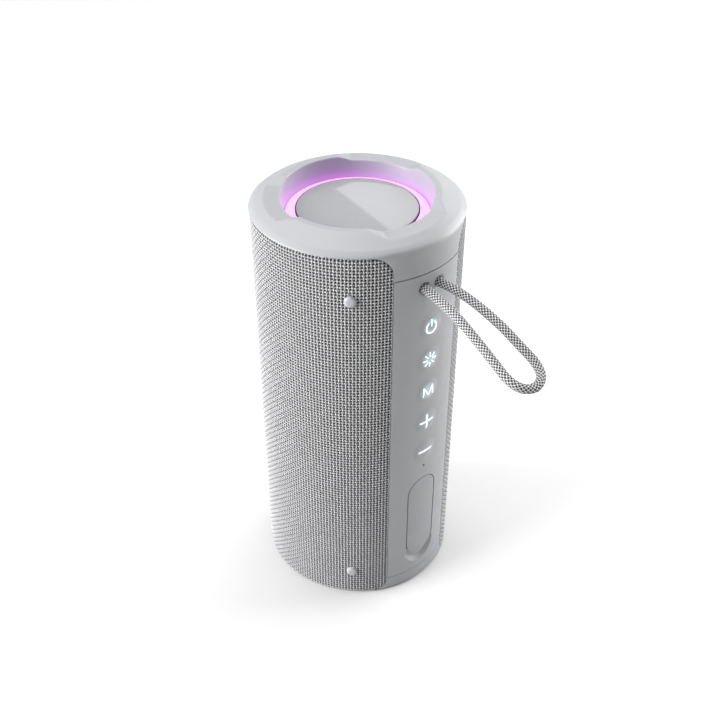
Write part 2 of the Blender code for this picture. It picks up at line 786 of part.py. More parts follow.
def make_driver(place, z):
    basket = turned_ring(
        f"driver_basket_{place}",
        [(24.0, 28.0), (24.0, 26.3), (20.4, 26.3), (15.4, 13.6), (7.5, 13.6), (7.5, 14.8), (14.6, 14.8)]
        + [(19.2, 26.8), (19.2, 28.0)],
        "magnet_steel",
        24,
    )
    magnet = turned_solid(
        f"driver_magnet_{place}",
        [(0, 4.5), (13.5, 4.5), (14.5, 5.4), (14.5, 13.3), (0, 13.3)],
        "magnet_steel",
        24,
    )
    cone = turned_solid(
        f"driver_cone_{place}",
        [(0, 20.4), (6.6, 18.6), (17.6, 27.0), (17.6, 28.0), (7.2, 20.2), (4.5, 22.2), (0, 23.0)],
        "cone_paper",
        24,
    )
    surround = turned_ring(
        f"driver_surround_{place}",
        [(17.9, 28.3), (19.0, 28.3), (20.6, 30.1), (22.2, 28.3), (23.8, 28.3), (23.8, 29.0)]
        + [(22.5, 29.0), (20.6, 31.0), (18.7, 29.0), (17.9, 29.0)],
        "black_rubber",
        24,
    )
    for piece in (basket, magnet, cone, surround):
        face_back(piece, z)


def make_battery():
    """Two round cells side by side in an open tray."""
    (low, high), r = CELL_Z, CELL_R
    profile = [(0, low), (r - 0.4, low), (r, low + 0.5), (r, high - 0.5), (r - 0.4, high), (0, high)]
    for number, (x, y) in enumerate(CELL_XY, 1):
        cell = turned_solid(f"battery_cell_{number}", profile, "cell_wrap", SMALL)
        cell.location = (x * MM, y * MM, 0)
    tray = block("battery_tray", (-20.6, -25.0, low - 2.5), (20.6, -6.0, high + 2.5), "inner_plastic")
    boolean(tray, block("room", (-30, -23.2, low - 0.4), (30, 0, high + 0.4), "steel"))


clear_scene()
MATERIALS = make_materials()
make_top_cap()
make_bottom_cap()
make_cap_screws()
make_grille()
make_side_feet()
make_base_feet()
make_control_panel()
make_buttons()
make_flap()
make_port_bay()
make_sockets()
make_boards()
make_lanyard()
make_light_ring()
make_radiator("top", END_WALL[1], 1, TOP_COVER_Z)
make_radiator("bottom", END_WALL[0], -1, BOTTOM_COVER_Z)
make_case()
for driver_place, driver_height in DRIVER_Z.items():
    make_driver(driver_place, driver_height)
make_battery()
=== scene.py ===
"""Looks for the portable speaker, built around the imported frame.

Everything is in metres, in the frame's own coordinates: +Z up, the key strip facing -Y.
Pieces that follow the wall are drawn flat first, with x as arc length, y as minus the radius
and z as height, and are then bent round the axis.
"""

import json
import math

import bmesh
import bpy
import numpy as np
from mathutils import Matrix, Vector


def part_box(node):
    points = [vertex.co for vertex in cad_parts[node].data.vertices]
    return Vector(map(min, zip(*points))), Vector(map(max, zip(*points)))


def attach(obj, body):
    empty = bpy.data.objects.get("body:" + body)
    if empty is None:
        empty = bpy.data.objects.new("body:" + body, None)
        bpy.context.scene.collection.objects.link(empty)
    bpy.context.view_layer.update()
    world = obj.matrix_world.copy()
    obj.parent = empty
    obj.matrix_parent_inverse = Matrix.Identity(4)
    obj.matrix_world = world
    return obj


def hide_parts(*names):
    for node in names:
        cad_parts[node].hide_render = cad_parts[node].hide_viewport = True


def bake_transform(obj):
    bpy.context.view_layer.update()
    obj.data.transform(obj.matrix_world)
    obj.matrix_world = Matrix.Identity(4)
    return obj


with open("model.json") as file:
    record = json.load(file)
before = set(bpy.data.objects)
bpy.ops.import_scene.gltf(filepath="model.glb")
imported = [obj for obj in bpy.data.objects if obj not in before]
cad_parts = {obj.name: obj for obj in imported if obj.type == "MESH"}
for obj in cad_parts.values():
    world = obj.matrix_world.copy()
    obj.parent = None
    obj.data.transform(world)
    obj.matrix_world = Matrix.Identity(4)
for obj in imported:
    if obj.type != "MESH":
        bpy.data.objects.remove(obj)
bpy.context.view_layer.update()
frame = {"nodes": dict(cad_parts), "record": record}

MM = 0.001
BODY_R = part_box("top_cap")[1].x
TOP_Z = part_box("top_cap")[1].z
GAP = 0.3 * MM
STRIP_HALF = math.radians(23.0)
STRIP_ARC = STRIP_HALF * BODY_R
STRIP_INNER_R = BODY_R - 2.4 * MM
GRILLE_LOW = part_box("grille_fabric")[0].z
GRILLE_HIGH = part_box("grille_fabric")[1].z
TOP_CORNER_R = 9.0 * MM
BOTTOM_CORNER_R = 6.0 * MM
EDGE_R = 0.8 * MM
CLOTH_LOW = GRILLE_LOW - 1.0 * MM
PANEL_LOW, PANEL_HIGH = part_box("control_panel")[0].z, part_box("control_panel")[1].z

KEYS = ("power", "light", "mode", "volume_up", "volume_down")
KEY_Z = {key: (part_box(f"button_{key}")[0].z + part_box(f"button_{key}")[1].z) / 2 for key in KEYS}
KEY_R = 5.0 * MM
MIC_Z = (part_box("microphone")[0].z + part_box("microphone")[1].z) / 2
FLAP_LOW, FLAP_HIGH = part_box("port_flap")[0].z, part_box("port_flap")[1].z
FLAP_HALF = 7.6 * MM


# ---------------------------------------------------------------- camera

VIEW_AZIMUTH = math.radians(-41.4)
VIEW_ELEVATION = math.radians(36.75)
VIEW_DISTANCE = 441.0 * MM
VIEW_TARGET = Vector((0.55, -0.49, 100.3)) * MM
LENS_MM = 51.63


def add_camera():
    outward = Vector((
        math.sin(VIEW_AZIMUTH) * math.cos(VIEW_ELEVATION),
        -math.cos(VIEW_AZIMUTH) * math.cos(VIEW_ELEVATION),
        math.sin(VIEW_ELEVATION),
    ))
    data = bpy.data.cameras.new("camera")
    data.sensor_width = 36.0
    data.lens = LENS_MM
    data.clip_start = 0.01
    camera = bpy.data.objects.new("camera", data)
    camera.location = VIEW_TARGET + outward * VIEW_DISTANCE
    camera.rotation_euler = outward.to_track_quat("Z", "Y").to_euler()
    bpy.context.scene.collection.objects.link(camera)
    bpy.context.scene.camera = camera


add_camera()


# ---------------------------------------------------------------- mesh helpers


def link_mesh(name, mesh, material):
    obj = bpy.data.objects.new(name, mesh)
    bpy.context.scene.collection.objects.link(obj)
    mesh.materials.clear()
    mesh.materials.append(material)
    return obj


def in_mm(points):
    """Pairs given in millimetres, in metres."""
    return [(a * MM, b * MM) for a, b in points]


def smooth(obj, angle=35):
    obj.data.shade_smooth()
    obj.data.set_sharp_from_angle(angle=math.radians(angle))
    return obj


def grid_object(name, points, material, loop_rows=False, loop_columns=False, uv=None):
    """A mesh over an (n, m, 3) array of points; doubled points are merged."""
    points = np.asarray(points, float)
    n, m = points.shape[:2]
    index = np.arange(n * m).reshape(n, m)
    rows = np.vstack([index, index[:1]]) if loop_rows else index
    rows = np.hstack([rows, rows[:, :1]]) if loop_columns else rows
    quads = np.stack([rows[:-1, :-1], rows[1:, :-1], rows[1:, 1:], rows[:-1, 1:]], -1).reshape(-1, 4)
    mesh = bpy.data.meshes.new(name)
    mesh.from_pydata(points.reshape(-1, 3).tolist(), [], quads.tolist())
    if uv is not None:
        layer = mesh.uv_layers.new(name="pattern")
        corners = np.asarray(uv, float).reshape(-1, 2)[quads.reshape(-1)]
        layer.data.foreach_set("uv", corners.astype(np.float32).reshape(-1))
    bm = bmesh.new()
    bm.from_mesh(mesh)
    bmesh.ops.remove_doubles(bm, verts=bm.verts[:], dist=1e-6)
    bmesh.ops.dissolve_degenerate(bm, edges=bm.edges[:], dist=1e-7)
    if not any(edge.is_boundary for edge in bm.edges):
        bmesh.ops.recalc_face_normals(bm, faces=bm.faces[:])
    bm.to_mesh(mesh)
    bm.free()
    return smooth(link_mesh(name, mesh, material))


def fillet(points, trims, steps=4, closed=True):
    """The outline with each corner rounded by a short curve that starts one trim length away."""
    count = len(points)
    result = []
    for i, (point, trim) in enumerate(zip(points, trims)):
        if not closed and i in (0, count - 1) or trim <= 0:
            result.append(tuple(point))
            continue
        p = Vector(point)
        before, after = Vector(points[i - 1]) - p, Vector(points[(i + 1) % count]) - p
        a = p + before.normalized() * min(trim, before.length * 0.45)
        b = p + after.normalized() * min(trim, after.length * 0.45)
        for k in range(steps + 1):
            t = k / steps
            result.append(tuple(a * (1 - t) ** 2 + p * (2 * t * (1 - t)) + b * t**2))
    return result


def turned(name, profile, material, count, closed=False):
    """Turn (r, z) points round +Z; closed means that the profile is a loop off the axis."""
    profile = np.array(profile, float)
    angles = np.linspace(0, 2 * math.pi, count, endpoint=False)
    x = np.outer(np.cos(angles), profile[:, 0])
    y = np.outer(np.sin(angles), profile[:, 0])
    z = np.tile(profile[:, 1], (count, 1))
    return grid_object(name, np.stack([x, y, z], -1), material, loop_rows=True, loop_columns=closed)


def arc(cx, cz, radius, start, end, steps):
    angles = np.radians(np.linspace(start, end, steps + 1))
    return [(cx + radius * math.cos(a), cz + radius * math.sin(a)) for a in angles]


def stadium(half, low, high, steps=24):
    return arc(0, low + half, half, 180, 360, steps) + arc(0, high - half, half, 0, 180, steps)


def flat_plate(name, outline, inner_r, outer_r, material):
    """A plate in front of the body, still flat, from (x, z) points and two radii."""
    bm = bmesh.new()
    face = bm.faces.new([bm.verts.new((x, -inner_r, z)) for x, z in outline])
    grown = bmesh.ops.extrude_face_region(bm, geom=[face])
    moved = [v for v in grown["geom"] if isinstance(v, bmesh.types.BMVert)]
    bmesh.ops.translate(bm, vec=(0, inner_r - outer_r, 0), verts=moved)
    bmesh.ops.recalc_face_normals(bm, faces=bm.faces[:])
    mesh = bpy.data.meshes.new(name)
    bm.to_mesh(mesh)
    bm.free()
    return link_mesh(name, mesh, material)


def flat_drill(x, z, radius, count=48, depth=(38.0, 45.0), outer_radius=None):
    """A round cutter along the flat plate's thickness; depth is two radii from the body's axis."""
    bm = bmesh.new()
    low, high = depth[0] * MM, depth[1] * MM
    bmesh.ops.create_cone(
        bm,
        cap_ends=True,
        segments=count,
        radius1=radius,
        radius2=outer_radius or radius,
        depth=high - low,
    )
    bm.transform(Matrix.Translation((x, -(low + high) / 2, z)) @ Matrix.Rotation(math.pi / 2, 4, "X"))
    mesh = bpy.data.meshes.new("drill")
    bm.to_mesh(mesh)
    bm.free()
    obj = bpy.data.objects.new("drill", mesh)
    bpy.context.scene.collection.objects.link(obj)
    return obj


def apply_modifiers(obj):
    graph = bpy.context.evaluated_depsgraph_get()
    mesh = bpy.data.meshes.new_from_object(obj.evaluated_get(graph))
    obj.modifiers.clear()
    old, material = obj.data, obj.data.materials[0]
    obj.data = mesh
    mesh.name = obj.name
    mesh.materials.clear()
    mesh.materials.append(material)
    mesh.polygons.foreach_set("material_index", [0] * len(mesh.polygons))
    bpy.data.meshes.remove(old)


def cut(obj, *tools):
    for tool in tools:
        modifier = obj.modifiers.new("cut", "BOOLEAN")
        modifier.object = tool
        modifier.solver = "EXACT"
        apply_modifiers(obj)
        bpy.data.objects.remove(tool, do_unlink=True)


def bevel(obj, width, segments=3, angle=30):
    modifier = obj.modifiers.new("bevel", "BEVEL")
    modifier.width = width
    modifier.segments = segments
    modifier.limit_method = "ANGLE"
    modifier.angle_limit = math.radians(angle)
    apply_modifiers(obj)


def tuck(z):
    """How far the wall draws in where it rounds under at the bottom."""
    z = np.clip(z, 0, EDGE_R)
    return EDGE_R - np.sqrt(EDGE_R**2 - (EDGE_R - z) ** 2)


def bend(x, radius, z):
    """Flat layout to the frame's coordinates."""
    angle = x / BODY_R
    return np.stack([radius * np.sin(angle), -radius * np.cos(angle), z], -1)


def wrap(obj, column=math.radians(0.5)):
    """Slice a flat piece into narrow columns and bend it round the axis."""
    bm = bmesh.new()
    bm.from_mesh(obj.data)
    step = column * BODY_R
    xs = [v.co.x for v in bm.verts]
    for i in range(math.ceil(min(xs) / step), math.floor(max(xs) / step) + 1):
        everything = bm.verts[:] + bm.edges[:] + bm.faces[:]
        bmesh.ops.bisect_plane(bm, geom=everything, dist=1e-7, plane_co=(i * step, 0, 0), plane_no=(1, 0, 0))
    for v in bm.verts:
        v.co = bend(v.co.x, -v.co.y - float(tuck(v.co.z)), v.co.z)
    bm.to_mesh(obj.data)
    bm.free()
    smooth(obj, 40)
    weighted = obj.modifiers.new("weighted", "WEIGHTED_NORMAL")
    weighted.keep_sharp = True
    weighted.weight = 80
    apply_modifiers(obj)
    return obj


# ---------------------------------------------------------------- material helpers


class Nodes:
    """A short way to add nodes to one material."""

    def __init__(self, name, colour, roughness, metallic=0.0):
        self.material = bpy.data.materials.new(name)
        self.material.use_nodes = True
        self.tree = self.material.node_tree
        self.shader = self.tree.nodes["Principled BSDF"]
        self.shader.inputs["Base Color"].default_value = (*colour, 1)
        self.shader.inputs["Roughness"].default_value = roughness
        self.shader.inputs["Metallic"].default_value = metallic

    def add(self, kind, **inputs):
        node = self.tree.nodes.new(kind)
        for key, value in inputs.items():
            self.feed(node, key.replace("_", " "), value)
        return node

    def feed(self, node, key, value):
        target = node.inputs[int(key)] if key.isdigit() else node.inputs[key]
        if isinstance(value, bpy.types.NodeSocket):
            self.tree.links.new(value, target)
        else:
            target.default_value = value

    def math(self, operation, a, b=0.0):
        node = self.tree.nodes.new("ShaderNodeMath")
        node.operation = operation
        self.feed(node, "0", a)
        self.feed(node, "1", b)
        return node.outputs[0]

    def length(self, a, b):
        squares = self.math("ADD", self.math("MULTIPLY", a, a), self.math("MULTIPLY", b, b))
        return self.math("SQRT", squares)

    def ramp(self, value, low, high, to_low=0.0, to_high=1.0, kind="SMOOTHSTEP"):
        node = self.tree.nodes.new("ShaderNodeMapRange")
        node.interpolation_type = kind
        settings = {"Value": value, "From Min": low, "From Max": high, "To Min": to_low, "To Max": to_high}
        for key, item in settings.items():
            self.feed(node, key, item)
        return node.outputs[0]

    def mix(self, factor, a, b):
        node = self.tree.nodes.new("ShaderNodeMix")
        node.data_type = "RGBA"
        for key, item in (("Factor", factor), ("A", a), ("B", b)):
            socket = [s for s in node.inputs if s.name == key and (s.type == "RGBA" or key == "Factor")][0]
            if isinstance(item, bpy.types.NodeSocket):
                self.tree.links.new(item, socket)
            else:
                socket.default_value = (*item, 1) if isinstance(item, tuple) else item
        return [s for s in node.outputs if s.type == "RGBA"][0]

    def place(self):
        return self.add("ShaderNodeTexCoord").outputs["Object"]

    def pattern(self):
        uv = self.add("ShaderNodeUVMap")
        uv.uv_map = "pattern"
        return uv.outputs["UV"]

    def crossing(self, u, v):
        """The profiles of two sets of yarns, and how far the first and the second set lie on top."""
        first, second = (self.math("COSINE", self.math("MULTIPLY", t, 2 * math.pi)) for t in (u, v))
        half_u, half_v = (self.math("COSINE", self.math("MULTIPLY", t, math.pi)) for t in (u, v))
        over = self.math("MULTIPLY", half_u, half_v)
        return first, second, over, self.math("MULTIPLY", over, -1.0)

    def noise(self, scale, detail=3.0, vector=None):
        node = self.add("ShaderNodeTexNoise", Scale=scale, Detail=detail)
        self.tree.links.new(vector or self.place(), node.inputs["Vector"])
        return node.outputs["Fac"]

    def bump(self, height, distance, strength=1.0):
        node = self.add("ShaderNodeBump", Strength=strength, Distance=distance, Height=height)
        self.tree.links.new(node.outputs["Normal"], self.shader.inputs["Normal"])

    def set(self, **inputs):
        for key, value in inputs.items():
            self.feed(self.shader, key.replace("_", " "), value)


def shade(colour, factor):
    return tuple(min(1.0, c * factor) for c in colour)


def moulded(name, colour, roughness, grain=0.03 * MM, variation=0.05, coat=0.0):
    """Moulded plastic or rubber: a fine grain, and slow changes of tone and gloss."""
    n = Nodes(name, colour, roughness)
    slow = n.noise(35.0, 2.0)
    n.set(Base_Color=n.mix(slow, shade(colour, 1 - variation), shade(colour, 1 + variation)))
    n.set(Roughness=n.ramp(n.noise(180.0, 4.0), 0.3, 0.7, roughness - 0.05, roughness + 0.07))
    n.bump(n.noise(4200.0, 2.0), grain, 0.35)
    if coat:
        n.set(Coat_Weight=coat, Coat_Roughness=0.03)
    return n.material


def metal(name, colour, roughness):
    """Plated metal with fine drawn lines."""
    n = Nodes(name, colour, roughness, 1.0)
    lines = n.noise(2600.0, 2.0)
    n.set(Roughness=n.ramp(lines, 0.3, 0.7, roughness - 0.08, roughness + 0.1))
    n.set(Base_Color=n.mix(n.noise(60.0), shade(colour, 0.85), shade(colour, 1.1)))
    n.bump(lines, 0.01 * MM, 0.3)
    return n.material


def circuit(name):
    """Solder resist over copper tracks."""
    n = Nodes(name, (0.02, 0.13, 0.07), 0.35)
    tracks = n.add("ShaderNodeTexBrick", Vector=n.place(), Scale=260.0, Mortar_Size=0.03, Row_Height=0.45)
    n.set(Base_Color=n.mix(tracks.outputs["Fac"], (0.015, 0.11, 0.06), (0.05, 0.24, 0.13)))
    n.bump(tracks.outputs["Fac"], 0.03 * MM, 0.5)
    return n.material


def glow(name, colour, strength, base):
    n = Nodes(name, base, 0.4)
    n.set(Emission_Color=(*colour, 1), Emission_Strength=strength)
    return n.material


PLASTIC = (0.292, 0.297, 0.309)


def plastic_with_painted_glow(n, amount, colour, strength):
    """Shell plastic with painted glow: it gives off the colour by the amount, for light that falls on it or
    leaks through it.
    """
    n.set(Base_Color=n.mix(n.noise(35.0, 2.0), shade(PLASTIC, 0.98), shade(PLASTIC, 1.02)))
    n.set(Emission_Color=n.mix(amount, (0.0, 0.0, 0.0), colour), Emission_Strength=strength)
    n.bump(n.noise(4200.0, 2.0), 0.03 * MM, 0.35)
    return n.material


def cap_with_painted_ring_light():
    """Cap plastic with painted light: round the funnel it gives off the ring's colour, strongest low down
    and inwards, for the ring's light falling on the wall.
    """
    n = Nodes("cap_plastic_painted_ring_light", PLASTIC, 0.42)
    parts = n.add("ShaderNodeSeparateXYZ", Vector=n.place())
    r = n.length(parts.outputs["X"], parts.outputs["Y"])
    inwards = n.ramp(r, 29.2 * MM, 31.5 * MM, 1.0, 0.0)
    downwards = n.ramp(parts.outputs["Z"], 170 * MM, 182 * MM, 1.0, 0.35)
    return plastic_with_painted_glow(n, n.math("MULTIPLY", inwards, downwards), (0.55, 0.20, 1.0), 0.16)


def cloth():
    """Plain weave: light warp and weft yarns, with openings painted near-black between them, and each yarn
    painted darker where it passes under the other.

    The pattern UV counts yarns, so that yarns cross at whole numbers.
    """
    n = Nodes("grille_cloth", (0.5, 0.5, 0.5), 0.85)
    uv = n.pattern()
    parts = n.add("ShaderNodeSeparateXYZ", Vector=uv)
    u, v = (
        n.math("ADD", parts.outputs[axis], n.ramp(n.noise(scale, 2.0, uv), 0.0, 1.0, -0.10, 0.10, "LINEAR"))
        for axis, scale in (("X", 0.9), ("Y", 1.1))
    )
    warp, weft, over, under = n.crossing(u, v)
    # Painted shade: each yarn is drawn darker where it dips under the crossing yarn.
    warp_with_painted_shade = n.math("MULTIPLY", n.ramp(warp, 0.0, 0.7), n.ramp(over, -0.3, 0.9, 0.5, 0.86))
    weft_with_painted_shade = n.math("MULTIPLY", n.ramp(weft, 0.1, 0.8), n.ramp(under, -0.4, 0.6, 0.38, 1.0))
    light = n.math("MAXIMUM", warp_with_painted_shade, weft_with_painted_shade)
    yarn = n.mix(n.noise(0.55, 1.0, uv), (0.37, 0.37, 0.378), (0.61, 0.61, 0.623))
    # The openings are painted near-black: partly the dark inside seen through the cloth, partly painted
    # shade.
    n.set(Base_Color=n.mix(light, (0.012, 0.012, 0.013), yarn))
    fibres = n.math("MULTIPLY", n.noise(9.0, 3.0, uv), 0.25)
    n.bump(n.math("ADD", light, fibres), 0.25 * MM, 0.8)
    n.set(Sheen_Weight=0.44, Sheen_Roughness=0.5)
    return n.material


def braid():
    """Round braid: pale strands that cross each other, painted darker where they pass under, with dark
    openings between them.
    """
    n = Nodes("cord_braid", (0.5, 0.5, 0.5), 0.8)
    uv = n.pattern()
    parts = n.add("ShaderNodeSeparateXYZ", Vector=uv)
    u, v = (n.math(sign, parts.outputs["X"], parts.outputs["Y"]) for sign in ("ADD", "SUBTRACT"))
    one, two, over, under = n.crossing(u, v)
    # Painted shade: each strand is drawn darker where it dips under the crossing strand.
    first = n.math("MULTIPLY", n.ramp(one, 0.0, 0.8), n.ramp(over, -0.5, 1.0, 0.35, 1.0))
    second = n.math("MULTIPLY", n.ramp(two, 0.0, 0.8), n.ramp(under, -0.5, 1.0, 0.35, 1.0))
    light = n.math("MAXIMUM", first, second)
    pale = n.mix(n.noise(1.6, 2.0, uv), (0.42, 0.42, 0.425), (0.82, 0.82, 0.83))
    n.set(Base_Color=n.mix(light, (0.012, 0.012, 0.013), pale))
    fibres = n.math("MULTIPLY", n.noise(14.0, 3.0, uv), 0.3)
    n.bump(n.math("ADD", light, fibres), 0.15 * MM, 0.8)
    return n.material


MATERIALS = {
    "shell_plastic": moulded("shell_plastic", PLASTIC, 0.42, variation=0.02),
    "key_plastic": moulded("key_plastic", shade(PLASTIC, 1.02), 0.40, variation=0.02),
    "grille_cloth": cloth(),
    "dark_plastic": moulded("dark_plastic", (0.035, 0.035, 0.038), 0.55),
    "inner_plastic": moulded("inner_plastic", (0.09, 0.09, 0.095), 0.5),
    "light_guide": glow("light_guide", (0.93, 0.24, 1.0), 2.1, (0.2, 0.14, 0.2)),
    "cover_satin": moulded(
        "cover_satin", (0.268, 0.272, 0.283), 0.5, grain=0.004 * MM, variation=0.01, coat=1.0
    ),
    "flap_rubber": moulded("flap_rubber", shade(PLASTIC, 0.97), 0.52, variation=0.02),
    "foot_rubber": moulded("foot_rubber", shade(PLASTIC, 1.15), 0.45),
    "black_rubber": moulded("black_rubber", (0.02, 0.02, 0.02), 0.65),
    "cord_braid": braid(),
    "steel": metal("steel", (0.60, 0.60, 0.61), 0.3),
    "magnet_steel": metal("magnet_steel", (0.25, 0.25, 0.26), 0.4),
    "cone_paper": moulded("cone_paper", (0.06, 0.06, 0.065), 0.8, grain=0.1 * MM, variation=0.2),
    "circuit_board": circuit("circuit_board"),
    "cell_wrap": moulded("cell_wrap", (0.05, 0.22, 0.45), 0.3, variation=0.08),
}
ICON_GLOW = glow("icon_glow", (0.84, 1.0, 1.0), 1.1, (0.8, 0.87, 0.9))


# ---------------------------------------------------------------- wrist loop

CORD_D = 3.7 * MM
CORD_STEP = 0.25 * MM
CORD_ROUTE_MM = (
    (-3.8, -37.5, 158.0),
    (-3.8, -43.0, 157.9),
    (-4.5, -50.0, 157.3),
    (-5.2, -60.0, 155.1),
    (-6.2, -70.5, 151.4),
    (-7.1, -80.5, 147.3),
    (-7.5, -87.5, 144.3),
    (-5.4, -92.4, 142.2),
    (-0.3, -94.4, 141.3),
    (4.8, -92.4, 142.3),
    (6.9, -87.5, 144.5),
    (6.6, -80.5, 147.9),
    (6.1, -71.0, 152.2),
    (5.3, -60.0, 155.8),
    (4.5, -50.0, 157.7),
    (3.8, -43.0, 157.9),
    (3.8, -37.5, 158.0),
)


def smooth_path(points, step):
    """Catmull-Rom through the points, then resampled at even steps."""
    points = np.array(points, float)
    ends = np.vstack([2 * points[0] - points[1], points, 2 * points[-1] - points[-2]])
    t = np.linspace(0, 1, 40, endpoint=False)[:, None]
    spans = []
    for a, b, c, d in zip(ends, ends[1:], ends[2:], ends[3:]):
        curve = 2 * b + (c - a) * t + (2 * a - 5 * b + 4 * c - d) * t**2 + (3 * b - a - 3 * c + d) * t**3
        spans.append(0.5 * curve)
    fine = np.vstack([*spans, points[-1:]])
    lengths = np.concatenate([[0], np.cumsum(np.linalg.norm(np.diff(fine, axis=0), axis=1))])
    count = int(round(lengths[-1] / step))
    wanted = np.linspace(0, lengths[-1], count + 1)
    return np.stack([np.interp(wanted, lengths, fine[:, i]) for i in range(3)], -1), lengths[-1]


def path_frames(path, up):
    """Two unit vectors across the path at each point, carried along without twist."""
    tangents = np.gradient(path, axis=0)
    tangents /= np.linalg.norm(tangents, axis=1)[:, None]
    side = np.cross(tangents[0], up)
    sides = []
    for tangent in tangents:
        side = side - tangent * (side @ tangent)
        side /= np.linalg.norm(side)
        sides.append(side)
    sides = np.array(sides)
    return sides, np.cross(tangents, sides)


def make_wrist_loop():
    path, length = smooth_path(np.array(CORD_ROUTE_MM) * MM, CORD_STEP)
    sides, ups = path_frames(path, (0, 0, 1))
    around = 56
    diamonds = 8
    pitch = 1.5 * MM
    relief = 0.12 * MM
    angles = np.linspace(0, 2 * math.pi, around + 1)
    along = np.linspace(0, length, len(path))[:, None] / pitch
    turn = (angles * diamonds / (2 * math.pi))[None]
    strand = np.maximum(np.cos(2 * math.pi * (along + turn)), np.cos(2 * math.pi * (along - turn)))
    radius = CORD_D / 2 - relief + relief * strand
    ring = sides[:, None] * np.cos(angles)[None, :, None] + ups[:, None] * np.sin(angles)[None, :, None]
    points = path[:, None] + ring * radius[..., None]
    first, last = (np.repeat(end[None, None], around + 1, 1) for end in (path[0], path[-1]))
    points = np.concatenate([first, points, last])
    uv = np.stack([along + 0 * turn, turn + 0 * along], -1)
    uv = np.concatenate([uv[:1], uv, uv[-1:]])
    cord = grid_object("wrist_loop", points, MATERIALS["cord_braid"], uv=uv)
    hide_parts("lanyard_cord")
    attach(cord, "housing")


make_wrist_loop()


# ---------------------------------------------------------------- end caps

CAP_BORE_R, CAP_SKIRT_R = 32.6 * MM, 38.9 * MM
SHOULDER_Z = 175.75 * MM
FUNNEL_FOOT_Z = 170.2 * MM
NO_TRIM = 1e-6  # cuts nothing off, but gives the corner as many points as a trimmed one


def from_strip_edge(angle):
    """Arc length past the strip's edge; negative inside the strip."""
    turn = (angle + math.pi / 2 + math.pi) % (2 * math.pi) - math.pi
    return abs(turn) * BODY_R - STRIP_ARC


def corner_rise(s, radius):
    s = min(max(s, 0.0), radius)
    return radius - math.sqrt(radius**2 - (radius - s) ** 2)


def cap_angles():
    """Fine columns, with closer ones beside the strip and at the ends of the shelves."""
    past_edge = (0.08, 0.25, 0.5, 0.8, 1.2, 1.7, 2.3, 3.0, 3.8, 4.7, 5.6, 6.6, 7.8, 9.0)
    close = [STRIP_HALF - 0.002, STRIP_HALF] + [STRIP_HALF + s * MM / BODY_R for s in past_edge]
    near = [sign * a for a in close for sign in (-1, 1)]
    far = list(np.radians(np.arange(-180, 180, 1.5)))
    offs = np.arange(22.0, 39.0, 0.5)
    ends = [middle + sign * off for middle in (-120, 0, 120) for sign in (-1, 1) for off in offs]
    far += [math.radians(a) for a in ends if a % 1.5]
    far = [a for a in far if min(abs(abs(a) - b) for b in close) > 0.003]
    return [a - math.pi / 2 for a in sorted(near + far)]


RIM_FOOT = (39.6 * MM, 177.4 * MM)
RIM_RIDGE_R = 32.2 * MM
SHELF_Z = 179.0 * MM
SHELF_HALF = math.radians(23.5)
SHELF_END_SLOPE = 0.36
FUNNEL_R = (29.6 * MM, 28.5 * MM)


def rim_z(r, angle):
    """The rim's cone and flat lobes, with three flat shelves cut in, whose ends slope up."""
    slope = (TOP_Z - RIM_FOOT[1]) / (RIM_FOOT[0] - RIM_RIDGE_R)
    lobe = np.minimum(TOP_Z, RIM_FOOT[1] + (RIM_FOOT[0] - r) * slope)
    third = 2 * math.pi / 3
    off = np.abs((angle + math.pi / 2 + third / 2) % third - third / 2)
    ends = SHELF_Z + SHELF_END_SLOPE * np.maximum(0, r * np.sin(off - SHELF_HALF))
    return np.minimum(lobe, ends)


def soft_rim_z(r, angle, blur=0.55 * MM):
    """The rim's height with its edges rounded: the mean over a small patch."""
    steps = np.linspace(-1, 1, 7)
    dr, da = np.meshgrid(steps * blur, steps * blur / r)
    weight = np.clip(1.2 - np.hypot(*np.meshgrid(steps, steps)), 0, 1)
    return float((rim_z(r + dr, angle + da) * weight).sum() / weight.sum())


def top_cap_section(angle):
    s = from_strip_edge(angle)
    lip = PANEL_HIGH + GAP if s < 0 else GRILLE_HIGH + GAP - corner_rise(s, TOP_CORNER_R)
    skirt = 160.4 * MM
    rim = [(r, soft_rim_z(r, angle)) for r in np.linspace(38.6 * MM, FUNNEL_R[0] + 0.9 * MM, 26)]
    points = [
        (BODY_R, lip),
        (BODY_R, SHOULDER_Z),
        (39.9 * MM, 177.3 * MM),
        *rim,
        (FUNNEL_R[0], soft_rim_z(FUNNEL_R[0] + 0.4 * MM, angle)),
        (FUNNEL_R[1], 172.6 * MM),
        (FUNNEL_R[1], FUNNEL_FOOT_Z),
        (CAP_BORE_R, FUNNEL_FOOT_Z),
        (CAP_BORE_R, skirt),
        (CAP_SKIRT_R, skirt),
        (39.4 * MM, lip),
    ]
    trims = [min(0.25 * MM, (SHOULDER_Z - lip) * 0.4), 2.2 * MM, 1.2 * MM]
    trims += [0.0] * len(rim) + [0.7 * MM] + [0.2 * MM] * 6
    return fillet(points, trims)


def ring_object(name, section, material):
    columns = []
    for angle in cap_angles():
        loop = section(angle)
        columns.append([(r * math.cos(angle), r * math.sin(angle), z) for r, z in loop])
    return grid_object(name, columns, material, loop_rows=True, loop_columns=True)


